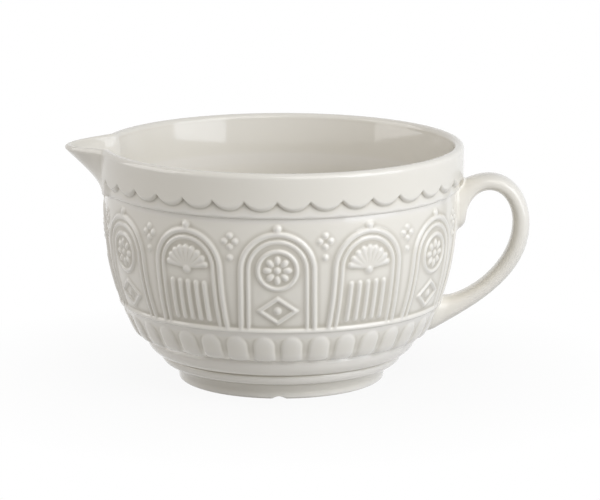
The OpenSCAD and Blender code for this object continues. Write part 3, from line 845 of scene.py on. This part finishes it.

# %% [markdown]
# ## Glaze pooling, painted shade and painted highlight
# Molten glaze draws back from edges and gathers in corners, so a cream glaze looks paler on
# crests and deeper in recesses. The darker colour in recesses, grooves and creases is partly
# that pooling and partly painted shade. The paler colour on crests is partly thin glaze
# and partly a painted highlight. Each mesh is smoothed in thought: where the smoothed skin
# would lie outside the real one there is a recess. The result is kept on the vertices as an
# attribute that the material reads, so it stays with the piece in every view. Each piece
# has its own number of passes, because some meshes are finer than others, and its own
# depth in millimetres that counts as full.


# %% Glaze pooling, painted shade and painted highlight
# Positive in recesses and negative on crests. The material paints glaze pooling and shade from it
# in recesses, and thin glaze and a highlight on crests.
def keep_pooling_and_painted_light(piece, passes, full):
    mesh = piece.data
    count = len(mesh.vertices)
    points = np.empty(count * 3)
    mesh.vertices.foreach_get("co", points)
    points = points.reshape(-1, 3) / MM
    normals = np.empty(count * 3)
    mesh.vertex_normals.foreach_get("vector", normals)
    pairs = np.empty(len(mesh.edges) * 2, dtype=int)
    mesh.edges.foreach_get("vertices", pairs)
    a, b = pairs.reshape(-1, 2).T
    degree = np.bincount(a, minlength=count) + np.bincount(b, minlength=count)
    even = points.copy()
    for _ in range(passes):
        total = np.stack([
            np.bincount(a, even[b, k], count) + np.bincount(b, even[a, k], count) for k in range(3)
        ], axis=1)
        even = 0.5 * even + 0.5 * total / degree[:, None]
    depth = np.sum((even - points) * normals.reshape(-1, 3), axis=1) / full
    depth = np.clip(depth, -1, 1).astype(np.float32)
    layer = mesh.attributes.new("glaze_depth", "FLOAT", "POINT")
    layer.data.foreach_set("value", depth)
    print(piece.name, "mean glaze depth", round(float(depth.mean()), 3))


for piece, passes, full in (
    (base, 30, 0.3), (belt, 30, 0.3), (belly, 30, 0.3), (collar, 14, 0.45),
    (handle, 4, 0.2), (upper_slip, 3, 0.2), (lower_slip, 3, 0.2),
):
    keep_pooling_and_painted_light(piece, passes, full)

# %% [markdown]
# ## The glaze
# The finish is a glossy cream glaze over pale stoneware. Real glaze is a thin layer of
# glass: sharp reflections over a softly coloured body. Two noises break up the evenness,
# one with clouds of 36 mm for colour and one of 5.5 mm for the slight waviness that glass
# keeps when it cools. The unglazed contact ring under the foot is bare stoneware, matt
# and a little darker, with a grain of about a millimetre.


# %% Material helpers
def srgb(hex_code):
    parts = [int(hex_code[i : i + 2], 16) / 255 for i in (1, 3, 5)]
    linear = [p / 12.92 if p <= 0.04045 else ((p + 0.055) / 1.055) ** 2.4 for p in parts]
    return (*linear, 1)


def add_node(tree, kind, settings=None, **inputs):
    node = tree.nodes.new(kind)
    for name, value in (settings or {}).items():
        setattr(node, name, value)
    for name, value in inputs.items():
        numbered = name[0] == "i" and name[1:].isdigit()
        socket = node.inputs[int(name[1:]) if numbered else name.replace("_", " ")]
        if isinstance(value, bpy.types.NodeSocket):
            tree.links.new(value, socket)
        else:
            socket.default_value = value
    return node


def new_material(name):
    material = bpy.data.materials.new(name)
    material.use_nodes = True
    material.node_tree.nodes.clear()
    return material, material.node_tree


def noise(tree, place, size, detail, roughness):
    return add_node(
        tree, "ShaderNodeTexNoise", Vector=place,
        Scale=1 / (size * MM), Detail=detail, Roughness=roughness,
    ).outputs["Fac"]


def blend(tree, share, low, high):
    return add_node(
        tree, "ShaderNodeMix", {"data_type": "RGBA"}, i0=share, i6=low, i7=high,
    ).outputs[2]


# %% Cream glaze
def make_glaze():
    material, tree = new_material("cream_stoneware_glaze")
    place = add_node(tree, "ShaderNodeTexCoord").outputs["Object"]
    depth = add_node(tree, "ShaderNodeAttribute", {"attribute_name": "glaze_depth"}).outputs["Fac"]
    cloud = noise(tree, place, 36, 3.0, 0.55)
    tone = blend(tree, cloud, srgb("#ebe7de"), srgb("#e8e4da"))
    # Recesses turn towards #bdb7a9. This is partly real glaze pooling and partly painted shade.
    recess_painted_shade = add_node(
        tree, "ShaderNodeMapRange", Value=depth,
        From_Min=0.05, From_Max=1.0, To_Min=0.0, To_Max=0.75,
    )
    pooled_and_painted_shade = blend(tree, recess_painted_shade.outputs["Result"], tone, srgb("#bdb7a9"))
    # Crests turn towards #f0ede8. This is partly thinner glaze and partly a painted highlight.
    crest_thin_glaze_and_highlight = add_node(
        tree, "ShaderNodeMapRange", Value=depth,
        From_Min=-0.05, From_Max=-1.0, To_Min=0.0, To_Max=0.5,
    )
    colour = blend(tree, crest_thin_glaze_and_highlight.outputs["Result"], pooled_and_painted_shade, srgb("#f0ede8"))
    wave = noise(tree, place, 5.5, 2.0, 0.5)
    bump = add_node(tree, "ShaderNodeBump", Strength=0.05, Distance=0.2 * MM, Height=wave)
    shader = add_node(
        tree, "ShaderNodeBsdfPrincipled", Base_Color=colour, Roughness=0.08, IOR=1.5,
        Normal=bump.outputs["Normal"],
    )
    add_node(tree, "ShaderNodeOutputMaterial", Surface=shader.outputs["BSDF"])
    return material


def make_bisque():
    material, tree = new_material("bare_stoneware")
    place = add_node(tree, "ShaderNodeTexCoord").outputs["Object"]
    grain = noise(tree, place, 1.1, 4.0, 0.6)
    colour = blend(tree, grain, srgb("#cfc5b0"), srgb("#e0d8c6"))
    bump = add_node(tree, "ShaderNodeBump", Strength=0.4, Distance=0.2 * MM, Height=grain)
    shader = add_node(
        tree, "ShaderNodeBsdfPrincipled", Base_Color=colour, Roughness=0.85,
        Normal=bump.outputs["Normal"],
    )
    add_node(tree, "ShaderNodeOutputMaterial", Surface=shader.outputs["BSDF"])
    return material


glaze = make_glaze()
bisque = make_bisque()
for piece in (base, belt, belly, collar, handle, upper_slip, lower_slip):
    piece.data.materials.append(glaze)
base.data.materials.append(bisque)
CONTACT_Z = 0.25 * MM
for polygon in base.data.polygons:
    if polygon.center.z < CONTACT_Z and polygon.normal.z < -0.9:
        polygon.material_index = 1
print("materials:", glaze.name, bisque.name)

# %% [markdown]
# ## Who replaces whom
# The fine meshes stand in for the plain CAD nodes. Nothing on a bowl moves, so every piece
# rides on the one body.

# %% Bind the pieces to the frame
for piece, node, slot in (
    (base, "bowl", "cream_glaze"),
    (belt, "bowl", "cream_glaze"),
    (belly, "bowl", "cream_glaze"),
    (collar, "bowl", "cream_glaze"),
    (handle, "handle", "cream_glaze"),
    (upper_slip, "upper_slip_joint", "fired_slip"),
    (lower_slip, "lower_slip_joint", "fired_slip"),
):
    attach(piece, "root")
    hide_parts(node)

# %% [markdown]
# ## Floor and light
# The photograph is a studio shot on white: one soft light from low on the right, a larger
# one from the upper front, a weaker fill from the left, and no hard shadow. The powers were
# weighed against the brightness of the photograph in many places. The floor stays pale and
# keeps a soft shadow, and it fades to plain white away from the bowl. To the camera and in
# reflections the world is white, while the light it gives is much lower. The floor's glow
# is only something to be seen, so it isn't sampled as a lamp, which would leave less for
# the real lamps and make the glaze grainy near the floor.


# %% Floor, lamps and world
FLOOR_HALF = 8.0
SHADOW_NEAR = 0.07
SHADOW_FAR = 0.22
LAMP_DISTANCE = 1.9
LAMP_AIM = Vector((0, 0, 0.08))


def make_floor():
    bm = bmesh.new()
    bmesh.ops.create_grid(bm, x_segments=1, y_segments=1, size=FLOOR_HALF)
    mesh = bpy.data.meshes.new("floor")
    bm.to_mesh(mesh)
    bm.free()
    floor = bpy.data.objects.new("floor", mesh)
    bpy.context.scene.collection.objects.link(floor)
    material, tree = new_material("white_paper_floor")
    path = add_node(tree, "ShaderNodeLightPath")
    seen = add_node(
        tree, "ShaderNodeMath", {"operation": "MAXIMUM"},
        i0=path.outputs["Is Camera Ray"], i1=path.outputs["Is Glossy Ray"],
    )
    place = add_node(tree, "ShaderNodeTexCoord").outputs["Object"]
    away = add_node(tree, "ShaderNodeVectorMath", {"operation": "LENGTH"}, i0=place)
    fade = add_node(
        tree, "ShaderNodeMapRange", Value=away.outputs["Value"],
        From_Min=SHADOW_NEAR, From_Max=SHADOW_FAR, To_Min=0.92, To_Max=1.0,
    )
    share = add_node(
        tree, "ShaderNodeMath", {"operation": "MULTIPLY"},
        i0=seen.outputs[0], i1=fade.outputs["Result"],
    )
    paper = add_node(tree, "ShaderNodeBsdfDiffuse", Color=srgb("#cecdcb"))
    glow = add_node(tree, "ShaderNodeEmission", Color=(1, 1, 1, 1), Strength=1.0)
    mixed = add_node(
        tree, "ShaderNodeMixShader", i0=share.outputs[0], i1=paper.outputs[0], i2=glow.outputs[0],
    )
    add_node(tree, "ShaderNodeOutputMaterial", Surface=mixed.outputs[0])
    material.cycles.emission_sampling = "NONE"
    mesh.materials.append(material)
    return floor


def add_lamp(name, azimuth, elevation, size, power, colour):
    side, up = math.radians(azimuth), math.radians(elevation)
    away = Vector((math.sin(side) * math.cos(up), -math.cos(side) * math.cos(up), math.sin(up)))
    data = bpy.data.lights.new(name, "AREA")
    data.size = size
    data.energy = power
    data.color = srgb(colour)[:3]
    lamp = bpy.data.objects.new(name, data)
    lamp.location = LAMP_DISTANCE * away + LAMP_AIM
    lamp.rotation_euler = (-away).to_track_quat("-Z", "Y").to_euler()
    bpy.context.scene.collection.objects.link(lamp)


make_floor()
add_lamp("right_softbox", 61, 18, 1.4, 18.6, "#eef4ff")
add_lamp("front_softbox", 34, 40, 1.8, 20.3, "#fffdf9")
add_lamp("left_softbox", -90, 25, 1.6, 16.6, "#fffdfd")
world = bpy.data.worlds.new("studio")
bpy.context.scene.world = world
world.use_nodes = True
tree = world.node_tree
tree.nodes.clear()
path = add_node(tree, "ShaderNodeLightPath")
seen = path.outputs["Is Camera Ray"]
for name in ("Is Glossy Ray", "Is Transmission Ray"):
    seen = add_node(
        tree, "ShaderNodeMath", {"operation": "MAXIMUM"}, i0=seen, i1=path.outputs[name],
    ).outputs[0]
strength = add_node(tree, "ShaderNodeMapRange", Value=seen, To_Min=0.1, To_Max=1.0)
sky = add_node(
    tree, "ShaderNodeBackground", Color=(1, 1, 1, 1), Strength=strength.outputs["Result"],
)
add_node(tree, "ShaderNodeOutputWorld", Surface=sky.outputs[0])

scene = bpy.context.scene
scene.view_settings.view_transform = "Standard"
